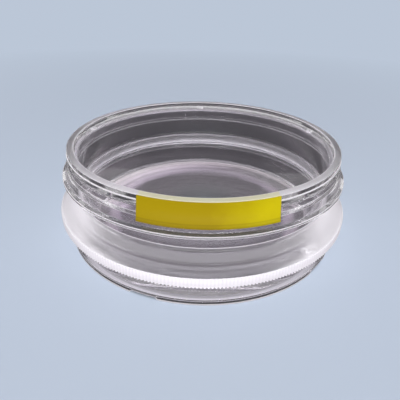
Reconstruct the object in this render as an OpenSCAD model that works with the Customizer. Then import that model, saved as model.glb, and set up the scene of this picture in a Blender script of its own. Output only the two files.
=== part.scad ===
// Cell culture dish of the 35 mm size, with a toothed grip ring, its vented lid and a label.
// Z is up and the origin is the centre of the foot ring, on the bench.

/* [Dish] */
// Outside diameter of the dish wall
dish_d = 35; // [30:0.5:60]
// Height of the dish rim above the bench
dish_h = 11.3; // [9:0.1:20]
// Thickness of the dish wall at the floor
wall_t = 0.75; // [0.6:0.05:1.2]
// How much further out the bore is at the rim than at the floor, so that the moulding releases
wall_draft = 0.1; // [0:0.05:0.3]
// Thickness of the floor
floor_t = 1.0; // [0.6:0.1:1.6]
// Height of the underside of the floor above the bench
floor_lift = 0.4; // [0.2:0.1:0.8]
// Radius of the inside corner between floor and wall
floor_corner = 0.5; // [0.2:0.1:0.8]
// Rounding of the edges of the dish rim
rim_round = 0.15; // [0.05:0.05:0.15]

/* [Grip ring] */
// Height at which the sloping shoulder leaves the wall
shoulder_z = 6.45; // [5.8:0.05:8.5]
// Rounding where the shoulder meets the wall
shoulder_round = 0.7; // [0.1:0.1:1]
// Height of the upper edge of the toothed band
band_top_z = 4.55; // [4.2:0.05:5.2]
// Height of the lower edge of the toothed band
band_low_z = 3.5; // [2.4:0.05:3.9]
// How far the teeth stand out past the skirt
grip_over = 1.1; // [0.8:0.1:2.5]
// Number of teeth round the band
tooth_count = 308; // [120:4:360]
// Depth of the valleys between teeth
tooth_depth = 0.2; // [0.1:0.05:0.35]

/* [Skirt and foot] */
// Clear gap between the dish wall and the skirt round it
skirt_gap = 0.65; // [0.5:0.05:1.5]
// Thickness of the skirt
skirt_t = 0.75; // [0.6:0.05:1.2]
// Height at which the gap ends under the shoulder
gap_top_z = 4.95; // [4:0.05:5.1]
// Rounding of the corners at the top of that gap
gap_round = 0.2; // [0.1:0.05:0.25]
// Height of the foot ring below the skirt
foot_h = 0.4; // [0.2:0.05:0.6]
// Width of the foot ring
foot_w = 0.5; // [0.3:0.05:0.6]
// Rounding of the lower edges of the foot ring
foot_round = 0.08; // [0.02:0.02:0.12]
// Number of air notches in the foot ring
notch_count = 5; // [3:1:8]
// Width of each air notch
notch_w = 3.2; // [1:0.1:6]
// Direction of the first air notch, in degrees from +X
notch_turn = 33.4; // [0:0.1:72]

/* [Lid] */
// Clear gap between the dish wall and the lid at the lid's lower edge
lid_clear = 0.45; // [0.3:0.05:1.5]
// Thickness of the lid wall
lid_t = 0.75; // [0.65:0.05:1.2]
// How much further in the lid wall is at its top than at its lower edge
lid_draft = 0.2; // [0:0.05:0.25]
// Overall height of the lid
lid_h = 3.85; // [3.7:0.05:5]
// How far the lip at the lower edge stands out from the lid wall
lip_over = 0.4; // [0.2:0.05:0.6]
// Height of the lip
lip_h = 0.35; // [0.2:0.05:0.45]
// Thickness of the top plate
plate_t = 0.8; // [0.6:0.05:1.2]
// Height of the stacking rim above the top plate
rim_h = 0.5; // [0.3:0.05:0.8]
// Width of the flat top of the stacking rim
rim_w = 0.85; // [0.6:0.05:1.2]
// How far the stacking rim stands in from the top of the lid wall
rim_inset = 0.35; // [0.2:0.05:0.45]
// How far the inner side of the stacking rim slopes in, from its top to the plate
rim_slope = 0.12; // [0:0.02:0.3]
// Depth of the small step in the rim's outer face below the top of the rim
step_drop = 0.65; // [0.5:0.05:0.9]
// How far that step stands out
step_w = 0.1; // [0.04:0.02:0.16]
// Depth of the ledge at the top of the lid wall below the top of the rim
ledge_drop = 2.3; // [1.9:0.05:2.5]
// How far the ledge slopes up towards the rim
ledge_rise = 0.3; // [0.2:0.05:0.5]
// Rounding of the corners of the ledge and the step
ledge_round = 0.05; // [0.02:0.01:0.06]
// Rounding of the outer edges of the lid
lid_round = 0.1; // [0.04:0.02:0.12]
// Radius of the inside corner between the lid wall and the top plate
lid_corner = 0.35; // [0.1:0.05:0.6]
// Number of vent nubs that hold the lid off the dish
nub_count = 5; // [3:1:8]
// Height of each vent nub
nub_h = 0.3; // [0.2:0.05:0.5]
// Diameter of each vent nub
nub_d = 0.95; // [0.8:0.05:1.2]
// Direction of the first vent nub, in degrees from +X
nub_turn = 20.2; // [0:0.1:72]

/* [Label] */
// Length of the label round the lid
label_len = 15.2; // [6:0.1:40]
// Height of the label from the rim down
label_h = 2.9; // [2.6:0.05:3.2]
// Thickness of the label
label_t = 0.12; // [0.08:0.02:0.3]
// Thickness of the adhesive under the label
glue_t = 0.04; // [0.02:0.01:0.1]
// Direction in which the label faces, in degrees from +X
label_turn = -88; // [-180:1:180]

/* [Hidden] */
$fn = 180;
eps = 0.5;                                  // overrun of a cut past the face it opens

wall_r = dish_d / 2;                        // outside of the dish wall
bore_r = wall_r - wall_t;                   // bore at the floor
rim_in_r = bore_r + wall_draft;             // bore at the rim
floor_z = floor_lift + floor_t;             // top of the floor
skirt_in_r = wall_r + skirt_gap;            // inside of the skirt
skirt_r = skirt_in_r + skirt_t;             // outside of the skirt and the foot
grip_r = skirt_r + grip_over;               // tips of the teeth
blank_r = grip_r + tooth_depth;             // the grip ring before its teeth are cut
slope = (shoulder_z - band_top_z) / (grip_r - wall_r);   // fall of the shoulder for each mm outwards

lid_in_r = wall_r + lid_clear;              // inside of the lid at its lower edge
lid_low_r = lid_in_r + lid_t;               // outside of the lid wall above the lip
lid_top_r = lid_low_r - lid_draft;          // outside of the lid wall at the ledge
lip_r = lid_low_r + lip_over;               // outside of the lip
rim_r = lid_top_r - rim_inset;              // outside of the stacking rim
under_z = dish_h + nub_h;                   // underside of the top plate
plate_z = under_z + plate_t;                // top of the top plate
rim_z = plate_z + rim_h;                    // top of the stacking rim
lid_low_z = rim_z - lid_h;                  // lower edge of the lid
lip_z = lid_low_z + lip_h;                  // top of the lip
step_r = rim_r + step_w;                    // outside of the lid between the step and the ledge
step_z = rim_z - step_drop;                 // top of the small step
ledge_z = rim_z - ledge_drop;               // where the ledge meets the lid wall
wall_low_z = lip_z + lip_over / 2;          // foot of the lid wall, where the lip slopes out of it
nub_r = (rim_in_r + wall_r) / 2;            // the nubs stand over the middle of the dish rim

// points of the arc of radius r that rounds corner p, on the way from point a to point b
function corner(a, p, b, r, steps = 5) =
    let (u = (a - p) / norm(a - p), v = (b - p) / norm(b - p),
         half = acos(u * v) / 2,
         mid = p + (u + v) / norm(u + v) * r / sin(half),
         from = p + u * r / tan(half) - mid,
         swing = sign(u[0] * v[1] - u[1] * v[0]) * (180 - 2 * half),
         a0 = atan2(from[1], from[0]))
    [for (i = [0:steps]) mid + r * [cos(a0 - swing * i / steps), sin(a0 - swing * i / steps)]];

// outline through points [x, y, r], each corner rounded by its own r
function rounded(pts) =
    let (n = len(pts), xy = [for (p = pts) [p[0], p[1]]])
    [for (i = [0:n - 1])
        each pts[i][2] > 0 ? corner(xy[(i + n - 1) % n], xy[i], xy[(i + 1) % n], pts[i][2]) : [xy[i]]];

// height of the shoulder's upper face at radius r
function shoulder(r) = shoulder_z - slope * (r - wall_r);

// copies of the children set round the axis, the first at angle turn
module round_axis(count, turn) {
    for (i = [0:count - 1]) rotate([0, 0, turn + i * 360 / count]) children();
}

// outline of the toothed band seen from above, tip and valley in turn
module tooth_outline() {
    polygon([for (i = [0:2 * tooth_count - 1])
        let (a = i * 180 / tooth_count, r = grip_r - (i % 2) * tooth_depth) [r * cos(a), r * sin(a)]]);
}

// half section of the dish: floor, drafted wall, shoulder, grip ring, skirt and foot ring
module dish_section() {
    polygon(rounded([
        [0, floor_lift, 0], [wall_r, floor_lift, foot_round],
        [wall_r, gap_top_z, gap_round], [skirt_in_r, gap_top_z, gap_round],
        [skirt_in_r, foot_h, foot_round], [skirt_r - foot_w, foot_h, foot_round],
        [skirt_r - foot_w, 0, foot_round], [skirt_r, 0, foot_round],
        [skirt_r, band_low_z, 0], [blank_r, band_low_z, 0], [blank_r, shoulder(blank_r), 0],
        [wall_r, shoulder_z, shoulder_round],
        [wall_r, dish_h, rim_round], [rim_in_r, dish_h, rim_round],
        [bore_r, floor_z, floor_corner], [0, floor_z, 0]
    ]));
}

module dish() {
    color([0.90, 0.91, 0.95, 0.45])
    difference() {
        intersection() {
            rotate_extrude() dish_section();
            linear_extrude(dish_h + eps) tooth_outline();
        }
        round_axis(notch_count, notch_turn)
            translate([skirt_in_r - eps / 2, -notch_w / 2, -eps])
                cube([skirt_t + eps, notch_w, foot_h + eps]);
    }
}

// half section of the lid: top plate, stacking rim, step, ledge, drafted wall and lip
module lid_section() {
    polygon(rounded([
        [0, under_z, 0], [lid_in_r - lid_draft, under_z, lid_corner], [lid_in_r, lid_low_z, lid_round],
        [lip_r, lid_low_z, lid_round], [lip_r, lip_z, lid_round],
        [lid_low_r, wall_low_z, lid_round], [lid_top_r, ledge_z, ledge_round],
        [step_r, ledge_z + ledge_rise, ledge_round], [step_r, step_z, ledge_round],
        [rim_r, step_z + step_w, ledge_round],
        [rim_r, rim_z, lid_round], [rim_r - rim_w, rim_z, lid_round],
        [rim_r - rim_w - rim_slope, plate_z, 0], [0, plate_z, 0]
    ]));
}

module lid() {
    color([0.94, 0.94, 0.97, 0.40])
    union() {
        rotate_extrude() lid_section();
        round_axis(nub_count, nub_turn)
            translate([nub_r, 0, dish_h]) cylinder(h = nub_h + plate_t / 2, d = nub_d, $fn = 32);
    }
}

// the label lies on the rim, bridges the hollows above the ledge and ends above the lip
module label_section() {
    top_z = rim_z - label_t / 2;
    low_z = max(rim_z - label_h, lip_z + lip_over);
    low_r = lid_top_r + lid_draft * (ledge_z - low_z) / (ledge_z - wall_low_z);
    inner = [[rim_r, top_z], [step_r, step_z], [lid_top_r, ledge_z], [low_r, low_z]];
    polygon(concat([for (p = inner) p + [glue_t, 0]],
        [for (i = [len(inner) - 1:-1:0]) inner[i] + [glue_t + label_t, 0]]));
}

module label() {
    spread = label_len / lid_top_r * 180 / PI;
    color([0.80, 0.70, 0.06])
    rotate([0, 0, label_turn - spread / 2]) rotate_extrude(angle = spread) label_section();
}

dish();
lid();
label();
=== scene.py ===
import bpy
import math
from mathutils import Matrix, Vector


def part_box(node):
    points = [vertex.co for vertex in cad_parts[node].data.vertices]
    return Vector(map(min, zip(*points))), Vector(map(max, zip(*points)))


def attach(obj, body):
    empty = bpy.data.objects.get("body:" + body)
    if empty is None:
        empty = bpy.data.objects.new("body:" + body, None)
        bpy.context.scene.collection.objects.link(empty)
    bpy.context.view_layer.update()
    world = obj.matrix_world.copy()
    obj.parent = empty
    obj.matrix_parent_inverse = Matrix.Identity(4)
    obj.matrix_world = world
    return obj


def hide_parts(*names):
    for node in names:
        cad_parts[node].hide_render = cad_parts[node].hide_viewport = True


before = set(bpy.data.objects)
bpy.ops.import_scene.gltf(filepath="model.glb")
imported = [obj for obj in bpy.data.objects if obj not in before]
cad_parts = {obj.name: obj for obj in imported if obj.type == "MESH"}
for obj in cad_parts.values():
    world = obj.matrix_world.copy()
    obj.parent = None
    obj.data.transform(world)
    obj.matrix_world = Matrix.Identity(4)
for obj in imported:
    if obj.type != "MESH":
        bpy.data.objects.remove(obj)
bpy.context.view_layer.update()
scene = bpy.context.scene
mm = 0.001
fullTurn = 2 * math.pi
weld = 0.001 * mm                   # points closer than this become one
sharpAngle = math.radians(32)       # ring edges that turn more than this are shaded sharp
noiseDetail = 3.0                   # finer steps of every noise

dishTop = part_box("dish")[1]
lidLow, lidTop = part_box("lid")
labelLow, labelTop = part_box("label")


# node helpers: a value that is a socket is linked, any other is typed in

def fill(tree, sockets, values):
    for socket, value in zip(sockets, values):
        if isinstance(value, bpy.types.NodeSocket):
            tree.links.new(value, socket)
        elif value is not None:
            socket.default_value = value


def node(tree, kind, inputs=None, **settings):
    made = tree.nodes.new(kind)
    for key, value in settings.items():
        setattr(made, key, value)
    for key, value in (inputs or {}).items():
        fill(tree, [made.inputs[key]], [value])
    return made


def result(tree, kind, inputs=None, **settings):    # the first output of a new node
    return node(tree, kind, inputs, **settings).outputs[0]


def calc(tree, operation, *values):
    made = node(tree, "ShaderNodeMath", operation=operation)
    fill(tree, made.inputs, values)
    return made.outputs[0]


def both(tree, *tests):     # all of the tests hold
    held = tests[0]
    for test in tests[1:]:
        held = calc(tree, "MULTIPLY", held, test)
    return held


def split(tree, vector):
    return node(tree, "ShaderNodeSeparateXYZ", {0: vector}).outputs


def join(tree, x=None, y=None, z=None):
    return result(tree, "ShaderNodeCombineXYZ", {0: x, 1: y, 2: z})


def newTree(kind, name, inputs, outputs):
    tree = bpy.data.node_groups.new(name, kind)
    for side, sockets in (("INPUT", inputs), ("OUTPUT", outputs)):
        for label, socket in sockets.items():
            tree.interface.new_socket(label, in_out=side, socket_type="NodeSocket" + socket)
    return tree, node(tree, "NodeGroupInput").outputs


def endTree(tree, **results):
    out = node(tree, "NodeGroupOutput")
    for label, socket in results.items():
        tree.links.new(socket, out.inputs[label])
    return tree


def newShape(name, inputs):
    shape = {"Geometry": "Geometry"}
    return newTree("GeometryNodeTree", name, {**shape, **inputs, "Material": "Material"}, shape)


def painted(tree, shape, material, **chosen):
    return result(tree, "GeometryNodeSetMaterial", {"Geometry": shape, "Material": material, **chosen})


def endShape(tree, shape, given):
    solid = result(tree, "GeometryNodeRealizeInstances", {"Geometry": shape})
    return endTree(tree, Geometry=painted(tree, solid, given["Material"]))


def applyShape(obj, tree, **values):
    modifier = obj.modifiers.new(tree.name, "NODES")
    modifier.node_group = tree
    for item in tree.interface.items_tree:
        key = item.name.replace(" ", "")
        key = key[0].lower() + key[1:]
        if item.in_out == "INPUT" and key in values:
            modifier[item.identifier] = values[key]


def toMesh(obj, name):      # the evaluated modifiers as one plain mesh, with its broad faces shaded flat
    weighted = obj.modifiers.new("broad faces stay flat", "WEIGHTED_NORMAL")
    weighted.keep_sharp = True
    weighted.weight = 100       # large faces count the most
    graph = bpy.context.evaluated_depsgraph_get()
    mesh = bpy.data.meshes.new_from_object(obj.evaluated_get(graph), preserve_all_data_layers=True,
                                           depsgraph=graph)
    piece = bpy.data.objects.new(name, mesh)
    scene.collection.objects.link(piece)
    bpy.data.objects.remove(obj)
    if "finish" in mesh.attributes:
        mesh.attributes.remove(mesh.attributes["finish"])
    used = {face.material_index for face in mesh.polygons}
    for index in reversed(range(len(mesh.materials))):      # slots that no face has are dropped
        if index not in used:
            mesh.materials.pop(index=index)
    print(name, "has", len(mesh.polygons), "faces")
    return piece


# half sections are points: radius, height, rounding, finish of the rounding, finish of the stretch after it

# every finish but clear mixes white into the plastic: painted highlight lines and streaks, and on the band
# partly its frosted teeth
clear, edge, frost, haze, satin, wall, band, grip = range(8)


def rounded(points, steps=5):
    outline = []
    for i, (x, y, radius, *marks) in enumerate(points):
        onArc, after = (marks + [clear, clear])[:2]
        corner = Vector((x, y))
        if radius == 0:
            outline.append((corner, after))
            continue
        back = (Vector(points[i - 1][:2]) - corner).normalized()
        ahead = (Vector(points[i + 1][:2]) - corner).normalized()
        half = back.angle(ahead) / 2
        middle = corner + (back + ahead).normalized() * radius / math.sin(half)
        start = corner + back * radius / math.tan(half) - middle
        swing = math.copysign(math.pi - 2 * half, back.x * ahead.y - back.y * ahead.x)
        for step in range(steps + 1):
            spot = middle + Matrix.Rotation(-swing * step / steps, 2) @ start
            outline.append((spot, onArc if step < steps else after))
    return outline


def sectionObject(name, outline):
    mesh = bpy.data.meshes.new(name)
    lines = [(i, i + 1) for i in range(len(outline) - 1)]
    mesh.from_pydata([(spot.x, 0, spot.y) for spot, mark in outline], lines, [])
    marks = mesh.attributes.new("finish", "INT", "EDGE")
    marks.data.foreach_set("value", [mark for spot, mark in outline[:-1]])
    obj = bpy.data.objects.new(name, mesh)
    scene.collection.objects.link(obj)
    return obj


# shared shapes: the section turned about Z with its seam and poles merged, then its edges and finishes

def storeFinish(tree, shape, mark):
    return result(tree, "GeometryNodeStoreNamedAttribute", {
        "Geometry": shape, "Name": "finish", "Value": mark}, data_type="INT", domain="FACE")


def readFinish(tree):
    return result(tree, "GeometryNodeInputNamedAttribute", {"Name": "finish"}, data_type="INT")


def merged(tree, shape, distance):
    return result(tree, "GeometryNodeMergeByDistance", {"Geometry": shape, "Distance": distance})


def makeRevolve():
    tree, given = newShape("revolve", {"Segments": "Int", "Start": "Float", "Sweep": "Float",
                                       "Weld": "Float"})
    section = given["Geometry"]
    size = node(tree, "GeometryNodeAttributeDomainSize", {"Geometry": section})
    rows = size.outputs["Point Count"]
    columns = calc(tree, "ADD", given["Segments"], 1)
    grid = result(tree, "GeometryNodeMeshGrid", {"Vertices X": columns, "Vertices Y": rows})
    index = result(tree, "GeometryNodeInputIndex")
    column = calc(tree, "FLOOR", calc(tree, "DIVIDE", calc(tree, "ADD", index, 0.5), rows))
    row = calc(tree, "SUBTRACT", index, calc(tree, "MULTIPLY", column, rows))
    point = split(tree, result(tree, "GeometryNodeSampleIndex", {
        "Geometry": section, "Index": row,
        "Value": result(tree, "GeometryNodeInputPosition")}, data_type="FLOAT_VECTOR"))
    share = calc(tree, "DIVIDE", column, given["Segments"])
    angle = calc(tree, "ADD", given["Start"], calc(tree, "MULTIPLY", share, given["Sweep"]))
    spot = join(tree, calc(tree, "MULTIPLY", point["X"], calc(tree, "COSINE", angle)),
                calc(tree, "MULTIPLY", point["X"], calc(tree, "SINE", angle)), point["Z"])
    stretch = calc(tree, "FLOORED_MODULO", index, calc(tree, "SUBTRACT", rows, 1))
    mark = result(tree, "GeometryNodeSampleIndex", {
        "Geometry": section, "Index": stretch, "Value": readFinish(tree)}, data_type="INT", domain="EDGE")
    marked = storeFinish(tree, grid, mark)
    turned = result(tree, "GeometryNodeSetPosition", {"Geometry": marked, "Position": spot})
    smooth = result(tree, "GeometryNodeSetShadeSmooth", {"Geometry": merged(tree, turned, given["Weld"])})
    return endShape(tree, smooth, given)


def makeCreases():  # ring edges that turn sharply are shaded sharp, and edges that climb stay soft
    tree, given = newShape("moulded edges", {"Angle": "Float", "Level": "Float"})
    turn = result(tree, "GeometryNodeInputMeshEdgeAngle")
    ends = node(tree, "GeometryNodeInputMeshEdgeVertices").outputs
    rise = calc(tree, "SUBTRACT", split(tree, ends["Position 2"])["Z"], split(tree, ends["Position 1"])["Z"])
    sharp = both(tree, calc(tree, "GREATER_THAN", turn, given["Angle"]),
                 calc(tree, "LESS_THAN", calc(tree, "ABSOLUTE", rise), given["Level"]))
    marked = result(tree, "GeometryNodeSetShadeSmooth", {
        "Geometry": given["Geometry"], "Selection": sharp, "Shade Smooth": False}, domain="EDGE")
    return endShape(tree, marked, given)


def makeFinish():   # faces take the finish that their stretch of the section has
    names = {"Edge": edge, "Frost": frost, "Haze": haze, "Satin": satin, "Wall": wall, "Band": band,
             "Grip": grip}
    tree, given = newShape("finish by section", {name: "Material" for name in names})
    solid = result(tree, "GeometryNodeRealizeInstances", {"Geometry": given["Geometry"]})
    shape = painted(tree, solid, given["Material"])
    mark = readFinish(tree)
    for name, value in names.items():
        same = calc(tree, "COMPARE", mark, value, 0.1)      # both are whole numbers
        shape = painted(tree, shape, given[name], Selection=same)
    return endTree(tree, Geometry=shape)


def polar(tree):    # radius, angle and height of each point
    place = split(tree, result(tree, "GeometryNodeInputPosition"))
    square = calc(tree, "ADD", calc(tree, "MULTIPLY", place["X"], place["X"]),
                  calc(tree, "MULTIPLY", place["Y"], place["Y"]))
    return calc(tree, "SQRT", square), calc(tree, "ARCTAN2", place["Y"], place["X"]), place["Z"], place


def atRadius(tree, place, radius, newRadius, height):   # the point moved along its own radius and up
    scale = calc(tree, "DIVIDE", newRadius, calc(tree, "MAXIMUM", radius, weld))
    return join(tree, calc(tree, "MULTIPLY", place["X"], scale), calc(tree, "MULTIPLY", place["Y"], scale),
                height)


# dish: one moulding with floor, wall, sloping shoulder, toothed grip band, skirt and notched foot

dishSizes = {
    "segmentsPerTooth": 2,
    "gripOver": 1.1 * mm,       # the teeth stand out this far past the skirt
    "skirtThick": 0.75 * mm,
    "skirtGap": 0.65 * mm,
    "wallThick": 0.75 * mm,
    "wallDraft": 0.1 * mm,
    "floorLift": 0.4 * mm,
    "floorThick": 1.0 * mm,
    "floorCorner": 0.5 * mm,
    "shoulderTop": 6.45 * mm,
    "shoulderRound": 0.7 * mm,
    "bandTop": 4.55 * mm,
    "bandLow": 3.5 * mm,
    "bandRound": 0.1 * mm,
    "brightBand": 0.55 * mm,    # the upper part of the band is milky right through: its frosted teeth, and a painted highlight along the top
    "shoulderLine": 0.47 * mm,  # the wall has a painted highlight line this far above the shoulder
    "gapTop": 4.95 * mm,
    "gapRound": 0.2 * mm,
    "footHeight": 0.4 * mm,
    "footWidth": 0.5 * mm,
    "footRound": 0.08 * mm,
    "brightFoot": 0.24 * mm,    # the lowest part of the foot carries a painted highlight line
    "rimRound": 0.15 * mm,
    "teeth": 308,
    "toothDepth": 0.2 * mm,
    "notches": 5,
    "notchWidth": 3.2 * mm,
    "firstNotch": math.radians(33.4),
}


def makeTeeth():    # valleys pull the edge of the grip ring in, and follow the slope of the shoulder
    tree, given = newShape("grip teeth", {"Teeth": "Int", "Tip Radius": "Float", "Depth": "Float",
                                          "Middle": "Float", "Slope": "Float"})
    radius, angle, height, place = polar(tree)
    wave = calc(tree, "COSINE", calc(tree, "MULTIPLY", angle, given["Teeth"]))
    share = calc(tree, "SUBTRACT", 0.5, calc(tree, "MULTIPLY", wave, 0.5))
    tooth = calc(tree, "SUBTRACT", given["Tip Radius"], calc(tree, "MULTIPLY", share, given["Depth"]))
    newRadius = calc(tree, "MINIMUM", radius, tooth)
    pulled = calc(tree, "MULTIPLY", calc(tree, "SUBTRACT", radius, newRadius), given["Slope"])
    climb = calc(tree, "MULTIPLY", calc(tree, "GREATER_THAN", height, given["Middle"]), pulled)
    spot = atRadius(tree, place, radius, newRadius, calc(tree, "ADD", height, climb))
    cut = result(tree, "GeometryNodeSetPosition", {"Geometry": given["Geometry"], "Position": spot})
    return endShape(tree, cut, given)


def makeNotches():  # the foot ring ends at each notch, where its points rise to the skirt
    tree, given = newShape("foot notches", {"Count": "Int", "First": "Float", "Half Width": "Float",
                                            "Rise To": "Float", "Inner Radius": "Float", "Weld": "Float"})
    radius, angle, height, place = polar(tree)
    pitch = calc(tree, "DIVIDE", fullTurn, given["Count"])
    halfPitch = calc(tree, "DIVIDE", pitch, 2)
    turned = calc(tree, "ADD", calc(tree, "SUBTRACT", angle, given["First"]), halfPitch)
    offset = calc(tree, "SUBTRACT", calc(tree, "FLOORED_MODULO", turned, pitch), halfPitch)
    aside = calc(tree, "MULTIPLY", radius, calc(tree, "SINE", calc(tree, "ABSOLUTE", offset)))
    inNotch = both(tree, calc(tree, "LESS_THAN", aside, given["Half Width"]),
                   calc(tree, "GREATER_THAN", radius, given["Inner Radius"]),
                   calc(tree, "LESS_THAN", height, given["Rise To"]))
    cut = result(tree, "GeometryNodeSetPosition", {
        "Geometry": given["Geometry"], "Selection": inNotch,
        "Position": join(tree, place["X"], place["Y"], given["Rise To"])})
    return endShape(tree, merged(tree, cut, given["Weld"]), given)


def dishRadii(d):   # grip ring, outside and inside of the skirt, wall and bore
    gripR = dishTop.x
    skirtR = gripR - d["gripOver"]
    skirtInR = skirtR - d["skirtThick"]
    wallR = skirtInR - d["skirtGap"]
    return gripR, skirtR, skirtInR, wallR, wallR - d["wallThick"]


def dishOutline(d):
    gripR, skirtR, skirtInR, wallR, boreR = dishRadii(d)
    footR = skirtR - d["footWidth"]
    valleyR = gripR - d["toothDepth"]
    floorZ = d["floorLift"] + d["floorThick"]
    slope = (d["shoulderTop"] - d["bandTop"]) / (gripR - wallR)
    return slope, rounded([
        (0, d["floorLift"], 0),
        (wallR, d["floorLift"], d["footRound"]),
        (wallR, d["gapTop"], d["gapRound"]),
        (skirtInR, d["gapTop"], d["gapRound"]),
        (skirtInR, d["footHeight"], d["footRound"]),
        (footR, d["footHeight"], d["footRound"]),
        (footR, 0, d["footRound"]),
        # the foot's lower edge and lowest stretch carry a painted highlight line
        (skirtR, 0, d["footRound"], edge, edge),
        (skirtR, d["brightFoot"], 0),
        (skirtR, d["footHeight"], 0),
        (skirtR, d["bandLow"], 0),
        (valleyR, d["bandLow"], 0),
        (gripR, d["bandLow"], 0, clear, grip),
        (gripR, d["bandTop"] - d["brightBand"], 0, clear, band),
        (gripR, d["bandTop"], d["bandRound"], band, band),
        (valleyR, d["bandTop"] + slope * d["toothDepth"], 0, clear, satin),
        (wallR, d["shoulderTop"], d["shoulderRound"], satin, frost),
        (wallR, d["shoulderTop"] + d["shoulderLine"], 0),
        (wallR, dishTop.z, d["rimRound"]),
        (boreR + d["wallDraft"], dishTop.z, d["rimRound"]),
        (boreR, floorZ, d["floorCorner"]),
        (0, floorZ, 0)])


def buildDish(d, materials):
    slope, outline = dishOutline(d)
    skirtR = dishRadii(d)[1]
    obj = sectionObject("dish section", outline)
    applyShape(obj, shapes["revolve"], segments=d["teeth"] * d["segmentsPerTooth"], start=0.0,
               sweep=fullTurn, weld=weld, **materials)
    applyShape(obj, shapes["teeth"], teeth=d["teeth"], tipRadius=dishTop.x, depth=d["toothDepth"],
               middle=(d["bandTop"] + d["bandLow"]) / 2, slope=slope, **materials)
    applyShape(obj, shapes["notches"], count=d["notches"], first=d["firstNotch"],
               halfWidth=d["notchWidth"] / 2, riseTo=d["footHeight"],
               innerRadius=skirtR - d["footWidth"] - d["footRound"] * 2, weld=weld, **materials)
    applyShape(obj, shapes["creases"], angle=sharpAngle, level=d["toothDepth"], **materials)
    applyShape(obj, shapes["finish"], **materials)
    return toMesh(obj, "dish_body")


# lid: top plate, stacking rim, ledge, drafted wall and lip, on five vent nubs

lidSizes = {
    "segments": 720,
    "lipOver": 0.4 * mm,
    "lipHeight": 0.35 * mm,
    "wallThick": 0.75 * mm,
    "draft": 0.2 * mm,
    "plateThick": 0.8 * mm,
    "rimHeight": 0.5 * mm,
    "rimWidth": 0.85 * mm,
    "rimInset": 0.35 * mm,
    "rimSlope": 0.12 * mm,
    "stepWidth": 0.1 * mm,      # a small step in the outer face of the stacking rim
    "stepDrop": 0.65 * mm,
    "ledgeDrop": 2.3 * mm,
    "ledgeRise": 0.3 * mm,
    "ledgeRound": 0.05 * mm,
    "round": 0.1 * mm,
    "corner": 0.35 * mm,
    "level": 0.01 * mm,         # edges that climb more than this are never shaded sharp
    "nubs": 5,
    "nubSides": 32,
    "nubWidth": 0.95 * mm,
    "nubClear": 0.01 * mm,      # the nubs end this far above the rim of the dish
    "firstNub": math.radians(20.2),
}


def lidRadii(s):    # lip, foot and top of the wall, and stacking rim
    lipR = lidTop.x
    lowR = lipR - s["lipOver"]
    topR = lowR - s["draft"]
    return lipR, lowR, topR, topR - s["rimInset"]


def lidLevels(s):   # ledge, foot of the wall and top of the lip
    lipZ = lidLow.z + s["lipHeight"]
    return lidTop.z - s["ledgeDrop"], lipZ + s["lipOver"] / 2, lipZ


def lidOutline(s):
    lipR, lowR, topR, rimR = lidRadii(s)
    ledgeZ, wallZ, lipZ = lidLevels(s)
    inR = lowR - s["wallThick"]
    rimInR = rimR - s["rimWidth"]
    plateZ = lidTop.z - s["rimHeight"]
    underZ = plateZ - s["plateThick"]
    stepR = rimR + s["stepWidth"]
    stepZ = lidTop.z - s["stepDrop"]
    r = s["round"]
    small = s["ledgeRound"]
    return underZ, rounded([
        (0, underZ, 0),
        (inR - s["draft"], underZ, s["corner"]),
        (inR, lidLow.z, r),
        # the frost corners of lip, ledge and step carry painted highlight lines, the rim's haze a painted
        # highlight, its inner edge a painted glint
        (lipR, lidLow.z, r, frost),
        (lipR, lipZ, r, frost),
        (lowR, wallZ, r, clear, wall),
        (topR, ledgeZ, small, frost),
        (stepR, ledgeZ + s["ledgeRise"], small, frost),
        (stepR, stepZ, small, frost, frost),
        (rimR, stepZ + s["stepWidth"], small, frost),
        (rimR, lidTop.z, r, haze, haze),
        (rimInR, lidTop.z, r, edge),
        (rimInR - s["rimSlope"], plateZ, 0),
        (0, plateZ, 0)])


def makeNubs():     # short pegs set round a circle and fused with the plate above them
    tree, given = newShape("vent nubs", {"Count": "Int", "First": "Float", "Ring Radius": "Float",
                                         "Sides": "Int", "Width": "Float", "Bottom": "Float",
                                         "Top": "Float"})
    ring = result(tree, "GeometryNodeMeshCircle", {
        "Vertices": given["Count"], "Radius": given["Ring Radius"]})
    peg = result(tree, "GeometryNodeMeshCylinder", {
        "Vertices": given["Sides"], "Radius": calc(tree, "DIVIDE", given["Width"], 2),
        "Depth": calc(tree, "SUBTRACT", given["Top"], given["Bottom"])})
    lift = calc(tree, "DIVIDE", calc(tree, "ADD", given["Top"], given["Bottom"]), 2)
    raised = result(tree, "GeometryNodeTransform", {
        "Geometry": ring, "Translation": join(tree, z=lift), "Rotation": join(tree, z=given["First"])})
    pegs = result(tree, "GeometryNodeInstanceOnPoints", {"Points": raised, "Instance": peg})
    solid = result(tree, "GeometryNodeRealizeInstances", {"Geometry": pegs})
    place = split(tree, result(tree, "GeometryNodeInputPosition"))
    atBack = calc(tree, "GREATER_THAN", place["Y"], 0)      # the pegs at the back take the corner finish, painted highlight dots
    solid = storeFinish(tree, solid, calc(tree, "MULTIPLY", atBack, frost))
    fused = node(tree, "GeometryNodeMeshBoolean", {"Mesh 2": given["Geometry"]}, operation="UNION",
                 solver="MANIFOLD")
    tree.links.new(solid, fused.inputs["Mesh 2"])
    smooth = result(tree, "GeometryNodeSetShadeSmooth", {"Geometry": fused.outputs[0]})
    return endShape(tree, smooth, given)


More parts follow.
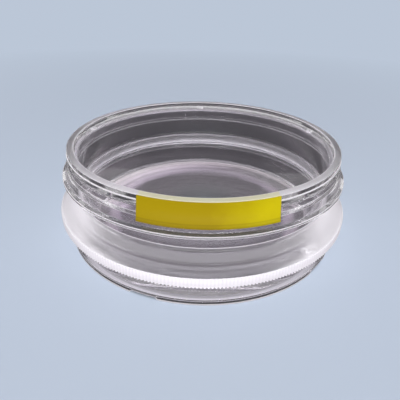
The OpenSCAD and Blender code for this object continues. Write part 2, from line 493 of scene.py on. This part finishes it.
def buildLid(s, materials):
    underZ, outline = lidOutline(s)
    rimMiddle = dishRadii(dishSizes)[3] - (dishSizes["wallThick"] - dishSizes["wallDraft"]) / 2
    obj = sectionObject("lid section", outline)
    applyShape(obj, shapes["revolve"], segments=s["segments"], start=0.0, sweep=fullTurn, weld=weld,
               **materials)
    applyShape(obj, shapes["nubs"], count=s["nubs"], first=s["firstNub"], ringRadius=rimMiddle,
               sides=s["nubSides"], width=s["nubWidth"], bottom=dishTop.z + s["nubClear"],
               top=underZ + s["plateThick"] / 2, **materials)
    applyShape(obj, shapes["creases"], angle=sharpAngle, level=s["level"], **materials)
    applyShape(obj, shapes["finish"], **materials)
    return toMesh(obj, "lid_body")


# label: a strip of film that bends over the ledge of the lid

labelSizes = {
    "segments": 120,
    "bendSteps": 8,
    "thick": 0.12 * mm,
    "glue": 0.04 * mm,
    "facing": math.radians(-88),
    "length": 15.2 * mm,
    "bend": 1.5 * mm,
}


def buildLabel(s, backing, film):
    topR, rimR = lidRadii(lidSizes)[2:]
    ledgeZ, wallZ = lidLevels(lidSizes)[:2]
    lowR = topR + lidSizes["draft"] * (ledgeZ - labelLow.z) / (ledgeZ - wallZ)
    spread = s["length"] / topR
    outline = rounded([(rimR + s["glue"], labelTop.z, 0), (topR + s["glue"], ledgeZ, s["bend"]),
                       (lowR + s["glue"], labelLow.z, 0)], s["bendSteps"])
    obj = sectionObject("label section", outline)
    applyShape(obj, shapes["revolve"], segments=s["segments"], start=s["facing"] - spread / 2, sweep=spread,
               weld=weld, material=backing)
    shell = obj.modifiers.new("film on its backing", "SOLIDIFY")
    shell.thickness = s["thick"]
    shell.offset = 1
    piece = toMesh(obj, "label_film")
    piece.data.materials.append(film)
    for face in piece.data.polygons:
        outwards = face.normal.x * face.center.x + face.normal.y * face.center.y
        if outwards > 0:
            face.material_index = len(piece.data.materials) - 1
    return piece


# finishes: effects that more than one of them uses are shader groups

def onPiece(tree):
    return node(tree, "ShaderNodeTexCoord").outputs["Object"]


def places(tree):   # where each point is on its piece, and how far from the axis
    place = split(tree, onPiece(tree))
    flat = join(tree, place["X"], place["Y"])
    return place, node(tree, "ShaderNodeVectorMath", {0: flat}, operation="LENGTH").outputs["Value"]


def under(tree, value, limit, soft):    # 1 below the limit and 0 above it, with a soft edge
    share = calc(tree, "DIVIDE", calc(tree, "SUBTRACT", limit, value), soft)
    return result(tree, "ShaderNodeClamp", {"Value": calc(tree, "ADD", share, 0.5)})


def fade(tree, value, start, end):      # start and end: a limit of the value, and what it becomes there
    return result(tree, "ShaderNodeMapRange", {"Value": value, "From Min": start[0], "From Max": end[0],
                                               "To Min": start[1], "To Max": end[1]})


def blend(tree, share, first, second):
    mix = node(tree, "ShaderNodeMix", {"Factor": share, "A": first, "B": second}, data_type="RGBA")
    return mix.outputs["Result"]


def tinted(tree, colour, factor):
    return result(tree, "ShaderNodeVectorMath", {0: colour, 1: factor}, operation="MULTIPLY")


def mixed(tree, share, first, second):
    return result(tree, "ShaderNodeMixShader", {0: share, 1: first, 2: second})


def newEffect(name, inputs, outputs):
    return newTree("ShaderNodeTree", name, inputs, outputs)


def effect(tree, group, inputs):    # the group's only output, with this material's own values
    return result(tree, "ShaderNodeGroup", inputs, node_tree=group)


def makeRipple():   # slight waves that moulding leaves in a polished face
    tree, given = newEffect("mould ripple", {"Scale": "Float", "Strength": "Float", "Depth": "Float"},
                            {"Normal": "Vector"})
    noise = result(tree, "ShaderNodeTexNoise", {
        "Vector": onPiece(tree), "Scale": given["Scale"], "Detail": noiseDetail})
    bump = result(tree, "ShaderNodeBump", {
        "Height": noise, "Strength": given["Strength"], "Distance": given["Depth"]})
    return endTree(tree, Normal=bump)


def makeValleyShade():    # painted shade: the valleys between the teeth are darker
    tree, given = newEffect("tooth tone", {"Tip": "Color", "Valley": "Color", "Tip Radius": "Float",
                                           "Depth": "Float"}, {"Color": "Color"})
    radius = places(tree)[1]
    middle = calc(tree, "SUBTRACT", given["Tip Radius"], calc(tree, "DIVIDE", given["Depth"], 2))
    inValley = under(tree, radius, middle, given["Depth"])
    return endTree(tree, Color=blend(tree, inValley, given["Tip"], given["Valley"]))


def makeStressColours():    # pale rings of colour, where a clear moulding cooled under strain
    tree, given = newEffect("stress colours", {
        "Tint": "Color", "Strength": "Float", "Outer Strength": "Float", "Ring Width": "Float",
        "First": "Float", "Outer": "Float", "High": "Float", "Soft": "Float"}, {"Color": "Color"})
    place, radius = places(tree)
    onFloor = both(tree, under(tree, radius, given["Outer"], given["Soft"]),
                   under(tree, place["Z"], given["High"], given["Soft"]))
    strength = fade(tree, radius, (0.0, given["Strength"]), (given["Outer"], given["Outer Strength"]))
    share = both(tree, onFloor, strength)
    turn = calc(tree, "MULTIPLY", calc(tree, "DIVIDE", radius, given["Ring Width"]), fullTurn)
    turn = calc(tree, "ADD", turn, given["First"])
    # red, green and blue follow each other by a third of a ring
    waves = [calc(tree, "SINE", calc(tree, "SUBTRACT", turn, i * fullTurn / 3)) for i in range(3)]
    colours = join(tree, *[calc(tree, "MULTIPLY_ADD", wave, share, 1.0) for wave in waves])
    return endTree(tree, Color=tinted(tree, given["Tint"], colours))


def newFinish(name, **values):
    material = bpy.data.materials.new(name)
    material.use_nodes = True
    tree = material.node_tree
    shader = tree.nodes["Principled BSDF"]
    for key, value in values.items():
        shader.inputs[key.replace("_", " ")].default_value = value
    return material, tree, shader


def showSurface(tree, surface):
    tree.links.new(surface, tree.nodes["Material Output"].inputs["Surface"])


def letLampsThrough(tree, surface, tint):   # a clear moulding casts only a faint shadow
    shadowRay = node(tree, "ShaderNodeLightPath").outputs["Is Shadow Ray"]
    passing = result(tree, "ShaderNodeBsdfTransparent", {"Color": tint})
    showSurface(tree, mixed(tree, shadowRay, surface, passing))


plasticLook = {
    "tint": (0.985, 0.975, 0.99, 1),
    "lampTint": (0.965, 0.965, 0.97, 1),
    # frost is the white of the painted highlights
    "frost": (0.95, 0.92, 0.97, 1),
    "polished": 0.015,
    "index": 1.59,
    "ripple": {"Scale": 160.0, "Strength": 0.1, "Depth": 0.05 * mm},
}

stressLook = {
    "Strength": 0.16,           # in the middle of the floor, and at its edge
    "Outer Strength": 0.12,
    "Ring Width": 30 * mm,
    "First": -1.66,             # phase of the colours in the middle, in radians
    "Outer": dishRadii(dishSizes)[-1],
    "High": dishSizes["floorLift"] + dishSizes["floorThick"] + 0.2 * mm,    # just above the floor
    "Soft": 0.5 * mm,
}


def newPlastic(name, look, waves, **values):
    material, tree, shader = newFinish(name, IOR=look["index"], Transmission_Weight=1.0, **values)
    ripple = effect(tree, effects["ripple"], waves)
    tree.links.new(ripple, shader.inputs["Normal"])
    return material, tree, shader, ripple


def clearPlastic(name, look, stress=None):
    material, tree, shader = newPlastic(name, look, look["ripple"], Base_Color=look["tint"],
                                        Roughness=look["polished"])[:3]
    if stress:
        colour = effect(tree, effects["stress"], {"Tint": look["tint"], **stress})
        tree.links.new(colour, shader.inputs["Base Color"])
    letLampsThrough(tree, shader.outputs[0], look["lampTint"])
    return material


# milky finishes: white that scatters light where the plastic shows bright lines and streaks, painted
# highlights and painted reflections. Each mask says where the painted highlight lies, and each pair is a
# place and the share there

paintedLightLook = {
    "ripple": {"Scale": 4000.0, "Strength": 0.4, "Depth": 0.01 * mm},
    "tip": (0.87, 0.84, 0.89, 1),       # tone of the teeth, and the painted shade between them
    "valley": (0.77, 0.75, 0.79, 1),
    "rimFront": (-16 * mm, 1.0),        # the painted highlight on the rim fades along Y, from front to back
    "rimBack": (-9 * mm, 0.05),
    "filmMiddle": 0.6 * mm,             # painted yellow reflection of the film, on the rim above it
    "filmHalf": 7.1 * mm,
    "filmTint": (0.98, 0.94, 0.66, 1),
    "filmSoft": 0.2 * mm,
    "sideFrom": (11 * mm, 0.05),        # the painted streak on the shoulder fades along X, from middle to side
    "sideTo": (14.5 * mm, 1.0),
    "lean": -0.1,                       # the next four heights are on a line that falls to the front
    "outerFrom": (4.9 * mm, 0.35),      # its outer edge is clearer where it turns to the back
    "outerTo": (5.55 * mm, 1.0),
    "frontFrom": (5.55 * mm, 0.0),
    "frontTo": (5.95 * mm, 1.0),
    "nearFrom": (5 * mm, 0.0),          # low down at the front it starts closer to the middle
    "nearTo": (12 * mm, 1.0),
    "lowFrom": (4.55 * mm, 1.0),
    "lowTo": (5.35 * mm, 0.0),
    "wallFrom": (14.5 * mm, 0.0),       # the painted streak on the wall of the lid fades along X too
    "wallTo": (17.5 * mm, 1.0),
}


# painted highlight: the rim's white is strong at the front and fades to the back
def rimHighlightMask(tree, m):
    return fade(tree, places(tree)[0]["Y"], m["rimFront"], m["rimBack"])


# painted highlight: a white streak along the shoulder at its sides
def shoulderStreakMask(tree, m):
    place = places(tree)[0]
    aside = calc(tree, "ABSOLUTE", place["X"])
    leaning = calc(tree, "MULTIPLY_ADD", place["Y"], m["lean"], place["Z"])
    side = both(tree, fade(tree, aside, m["sideFrom"], m["sideTo"]),
                fade(tree, leaning, m["outerFrom"], m["outerTo"]))
    low = both(tree, fade(tree, leaning, m["frontFrom"], m["frontTo"]),
               fade(tree, place["Z"], m["lowFrom"], m["lowTo"]),
               fade(tree, aside, m["nearFrom"], m["nearTo"]))
    return calc(tree, "MAXIMUM", side, low)


# painted reflection: the lid's wall is white towards its sides
def wallStreakMask(tree, m):
    return fade(tree, calc(tree, "ABSOLUTE", places(tree)[0]["X"]), m["wallFrom"], m["wallTo"])


# painted reflection: the rim above the film is painted with the film's yellow
def rimFilmGlow(tree, m):
    place = places(tree)[0]
    aside = calc(tree, "ABSOLUTE", calc(tree, "SUBTRACT", place["X"], m["filmMiddle"]))
    filmGlowMask = both(tree, under(tree, aside, m["filmHalf"], m["filmSoft"]),
                    under(tree, place["Y"], 0, m["filmSoft"]))
    return blend(tree, filmGlowMask, plasticLook["frost"], m["filmTint"])


# painted shade between the teeth, on the band and the grip
def toothShadeColour(tree, m):
    return effect(tree, effects["teeth"], {"Tip": m["tip"], "Valley": m["valley"], "Tip Radius": dishTop.x,
                                           "Depth": dishSizes["toothDepth"]})


# the share is how much light the finish scatters as white, a painted highlight, on both sides of the face or
# only on the outside
paintedLightFinishes = {
    "edge": {"name": "bright_edge", "cloudy": 0.7, "roughness": 0.4, "bothSides": True},
    "frost": {"name": "corner_frost", "cloudy": 0.55, "roughness": 0.35},
    "haze": {"name": "rim_haze", "cloudy": 0.5, "roughness": 0.3, "mask": rimHighlightMask, "colour": rimFilmGlow},
    "satin": {"name": "shoulder_satin", "cloudy": 0.5, "roughness": 0.35, "mask": shoulderStreakMask},
    "wall": {"name": "wall_haze", "cloudy": 0.35, "roughness": 0.015, "mask": wallStreakMask,
             "waves": plasticLook["ripple"]},
    # the band's white is partly its frosted teeth and partly a painted highlight
    "band": {"name": "grip_milk", "cloudy": 0.97, "roughness": 0.4, "bothSides": True, "colour": toothShadeColour},
    "grip": {"name": "grip_frost", "cloudy": 0.8, "roughness": 0.4, "colour": toothShadeColour},
}


# clear plastic with white mixed in where the mask allows, a painted highlight
def paintedLightPlastic(name, cloudy, roughness, bothSides=False, mask=None, colour=None, waves=None):
    look = plasticLook
    material, tree, shader, ripple = newPlastic(name, look, waves or paintedLightLook["ripple"],
                                                Base_Color=look["frost"], Roughness=roughness)
    paintedWhite = node(tree, "ShaderNodeBsdfDiffuse", {"Color": look["frost"], "Normal": ripple})
    if colour:
        tone = colour(tree, paintedLightLook)
        tree.links.new(tone, shader.inputs["Base Color"])
        tree.links.new(tone, paintedWhite.inputs["Color"])
    share = calc(tree, "MULTIPLY", mask(tree, paintedLightLook), cloudy) if mask else cloudy
    if not bothSides:       # from inside the plastic the face looks clear
        inside = node(tree, "ShaderNodeNewGeometry").outputs["Backfacing"]
        share = calc(tree, "MULTIPLY", calc(tree, "SUBTRACT", 1, inside), share)
    letLampsThrough(tree, mixed(tree, share, shader.outputs[0], paintedWhite.outputs[0]), look["lampTint"])
    return material


filmLook = {
    "tone": (0.34, 0.245, 0.003, 1),
    "lightTone": (0.52, 0.43, 0.003, 1),
    "lightFrom": 1 * mm,        # from here along X the film gets lighter
    "lightTo": 7 * mm,
    "wander": 3.5 * mm,         # patches shift the change by up to half of this
    "patchScale": 500.0,
    "patchHeight": 0.5,         # beside the height of the crease
    "crease": 10.45 * mm,
    "creaseWidth": 0.12 * mm,
    # the film is painted darker along the crease, a painted shade
    "creaseTone": 0.8,
    "bump": {"Strength": 0.3, "Distance": 0.03 * mm},
    "surface": {"Roughness": 0.5, "Specular_IOR_Level": 0.1},
    "backing": {"Base_Color": (0.3, 0.28, 0.22, 1), "Roughness": 0.8},
}


def labelFilm(look):
    material, tree, shader = newFinish("yellow_film", **look["surface"])
    coords = onPiece(tree)
    place = split(tree, coords)
    patches = result(tree, "ShaderNodeTexNoise", {
        "Vector": coords, "Scale": look["patchScale"], "Detail": noiseDetail})
    wander = calc(tree, "MULTIPLY", calc(tree, "SUBTRACT", patches, 0.5), look["wander"])
    aside = calc(tree, "ADD", place["X"], wander)
    lighter = fade(tree, aside, (look["lightFrom"], 0.0), (look["lightTo"], 1.0))
    film = blend(tree, lighter, look["tone"], look["lightTone"])
    # painted shade: a dark line along the crease, which also dips the bump
    off = calc(tree, "ABSOLUTE", calc(tree, "SUBTRACT", place["Z"], look["crease"]))
    crease = fade(tree, off, (0.0, look["creaseTone"]), (look["creaseWidth"], 1.0))
    tree.links.new(tinted(tree, film, crease), shader.inputs["Base Color"])
    height = calc(tree, "ADD", calc(tree, "MULTIPLY", patches, look["patchHeight"]), crease)
    bump = result(tree, "ShaderNodeBump", {"Height": height, **look["bump"]})
    tree.links.new(bump, shader.inputs["Normal"])
    return material


shapes = {"revolve": makeRevolve(), "teeth": makeTeeth(), "notches": makeNotches(), "creases": makeCreases(),
          "nubs": makeNubs(), "finish": makeFinish()}
effects = {"ripple": makeRipple(), "teeth": makeValleyShade(), "stress": makeStressColours()}
print("shapes ready")

plastics = {"dish": clearPlastic("dish_polystyrene", plasticLook, stressLook),
            "lid": clearPlastic("lid_polystyrene", plasticLook)}
paintedLightMaterials = {mark: paintedLightPlastic(**look) for mark, look in paintedLightFinishes.items()}
film = labelFilm(filmLook)
backing = newFinish("label_backing", **filmLook["backing"])[0]
print("finishes ready")

pieces = {"dish": buildDish(dishSizes, {"material": plastics["dish"], **paintedLightMaterials}),
          "lid": buildLid(lidSizes, {"material": plastics["lid"], **paintedLightMaterials}),
          "label": buildLabel(labelSizes, backing, film)}
for name, piece in pieces.items():
    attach(piece, "root")
    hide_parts(name)


# studio: pale paper that runs up into the backdrop, and soft lights all round. Rays that the plastic bends or
# mirrors see a darker table and room than the eye does, as the plastic would on a dark sheet.

studio = {
    "paper": (0.50, 0.57, 0.68),
    "paperRoughness": 0.8,
    "floorSize": 4,             # metres
    "sweep": 120 * mm,          # past this radius the paper is as bright as the backdrop
    "shadeEdge": 18.7 * mm,     # the paper under the dish is painted dark, a painted shadow
    "shadeSoft": 0.5 * mm,
    "table": 0.06,
    # rings of light on the table: radii, softness, brightness and the azimuth of the side that has it
    "tones": [
        (-1, 3.5 * mm, 3 * mm, 0.15, None),     # a disc, with no inner edge
        (13.4 * mm, 16.6 * mm, 1.5 * mm, 0.36, 124),
        (15.2 * mm, 17.4 * mm, 0.6 * mm, 0.44, 124),
        (18 * mm, 18.6 * mm, 0.2 * mm, 0.2, 90),
        (16.6 * mm, 18 * mm, 0.2 * mm, 0.35, None),
        (17.4 * mm, 18 * mm, 0.2 * mm, 0.3, None),
        (12.8 * mm, 14.6 * mm, 0.8 * mm, 0.3, 0),
        (12.8 * mm, 14.6 * mm, 0.8 * mm, 0.3, 180),
        (24 * mm, 40 * mm, 4 * mm, 1.5, -90),
    ],
    "room": 0.1,
    "lightTint": (1.0, 0.965, 1.07, 1),
    "top": {"size": (0.5, 0.5), "place": (0.0, -0.3, 0.62), "power": 4.0},
}

# azimuth and elevation in degrees, distance, width and height in metres, brightness
lights = {
    "front strip": (-90, 4, 0.6, 0.8, 0.08, 11.0),
    "left strip": (180, 4, 0.6, 0.4, 0.08, 4.0),
    "right strip": (0, 4, 0.6, 0.4, 0.08, 4.0),
    "back left strip": (140, 12, 0.6, 0.3, 0.08, 2.3),
    "back right strip": (40, 12, 0.6, 0.3, 0.08, 2.3),
    "left panel": (175, 32, 0.6, 0.45, 0.13, 2.3),
    "right panel": (5, 32, 0.6, 0.45, 0.13, 2.3),
    "back horizon": (90, 4, 0.6, 0.8, 0.08, 1.2),
    "back sheet": (90, 45, 0.6, 0.7, 0.4, 0.28),
}


def area(name, size, place, power, mirrored=True):
    light = bpy.data.lights.new(name, "AREA")
    light.shape = "RECTANGLE"
    light.size, light.size_y = size
    light.energy = power
    obj = bpy.data.objects.new(name, light)
    scene.collection.objects.link(obj)
    obj.location = place
    obj.rotation_euler = (-Vector(place)).to_track_quat("-Z", "Y").to_euler()
    obj.visible_camera = False
    obj.visible_glossy = mirrored
    obj.visible_transmission = mirrored


def placeLights():
    for name, (azimuth, elevation, distance, width, height, brightness) in lights.items():
        turn, climb = math.radians(azimuth), math.radians(elevation)
        place = Vector((math.cos(turn) * math.cos(climb), math.sin(turn) * math.cos(climb), math.sin(climb)))
        area(name, (width, height), place * distance, brightness * math.pi * width * height)


def seenStraight(tree):
    return node(tree, "ShaderNodeLightPath").outputs["Is Camera Ray"]


def makeWorld(s):
    world = bpy.data.worlds.new("studio")
    scene.world = world
    world.use_nodes = True
    world.cycles.sampling_method = "NONE"
    tree = world.node_tree
    backdrop = tree.nodes["Background"]
    backdrop.inputs["Color"].default_value = (*s["paper"], 1)
    room = result(tree, "ShaderNodeBackground", {"Color": s["lightTint"], "Strength": s["room"]})
    mix = mixed(tree, seenStraight(tree), room, backdrop.outputs[0])
    tree.links.new(mix, tree.nodes["World Output"].inputs["Surface"])


def glow(tree, colour, strength):
    return result(tree, "ShaderNodeEmission", {"Color": colour, "Strength": strength})


def tableTone(tree, s):     # what bent and mirrored rays see of the floor
    place, radius = places(tree)
    tone = s["table"]
    for inner, outer, soft, brightness, side in s["tones"]:
        past = calc(tree, "SUBTRACT", 1, under(tree, radius, inner, soft))
        part = calc(tree, "MULTIPLY", both(tree, under(tree, radius, outer, soft), past), brightness)
        if side is not None:
            turn = math.radians(side)
            along = calc(tree, "ADD", calc(tree, "MULTIPLY", place["X"], math.cos(turn)),
                         calc(tree, "MULTIPLY", place["Y"], math.sin(turn)))
            toSide = calc(tree, "DIVIDE", calc(tree, "MAXIMUM", along, 0), radius)
            part = calc(tree, "MULTIPLY", part, calc(tree, "POWER", toSide, 2))
        tone = calc(tree, "ADD", tone, part)
    return tone


def makeFloor(s):
    bpy.ops.mesh.primitive_plane_add(size=s["floorSize"])
    floor = bpy.context.object
    floor.name = "floor"
    colour = (*s["paper"], 1)
    paper, tree, shader = newFinish("pale_paper", Base_Color=colour, Roughness=s["paperRoughness"])
    radius = places(tree)[1]
    near = under(tree, radius, s["sweep"], s["sweep"])
    seen = mixed(tree, near, glow(tree, colour, 1.0), shader.outputs[0])
    # painted shadow: under the dish the paper glows only as bright as the table
    shaded = under(tree, radius, s["shadeEdge"], s["shadeSoft"])
    seen = mixed(tree, shaded, seen, glow(tree, colour, s["table"]))
    table = glow(tree, s["lightTint"], tableTone(tree, s))
    showSurface(tree, mixed(tree, seenStraight(tree), table, seen))
    paper.cycles.emission_sampling = "NONE"
    floor.data.materials.append(paper)


view = {
    "place": (-0.33 * mm, -49.48 * mm, 30.92 * mm),
    "down": math.radians(29.62),
    "roll": 0.0251,             # radians
    "lens": 33.84,
    "sensor": 36,
    "near": 1 * mm,
    "bounces": 128,             # light turns many times inside the clear walls
}


def placeCamera(v):
    camera = bpy.data.objects.new("camera", bpy.data.cameras.new("camera"))
    scene.collection.objects.link(camera)
    camera.data.lens = v["lens"]
    camera.data.sensor_width = v["sensor"]
    camera.data.clip_start = v["near"]
    camera.matrix_world = (Matrix.Translation(v["place"]) @ Matrix.Rotation(math.pi / 2 - v["down"], 4, "X")
                           @ Matrix.Rotation(v["roll"], 4, "Z"))
    scene.camera = camera
    scene.view_settings.view_transform = "Standard"
    scene.cycles.max_bounces = v["bounces"]
    scene.cycles.transmission_bounces = v["bounces"]
    scene.cycles.glossy_bounces = v["bounces"]


area("top softbox", **studio["top"], mirrored=False)
placeLights()
makeWorld(studio)
makeFloor(studio)
placeCamera(view)
print("studio ready")
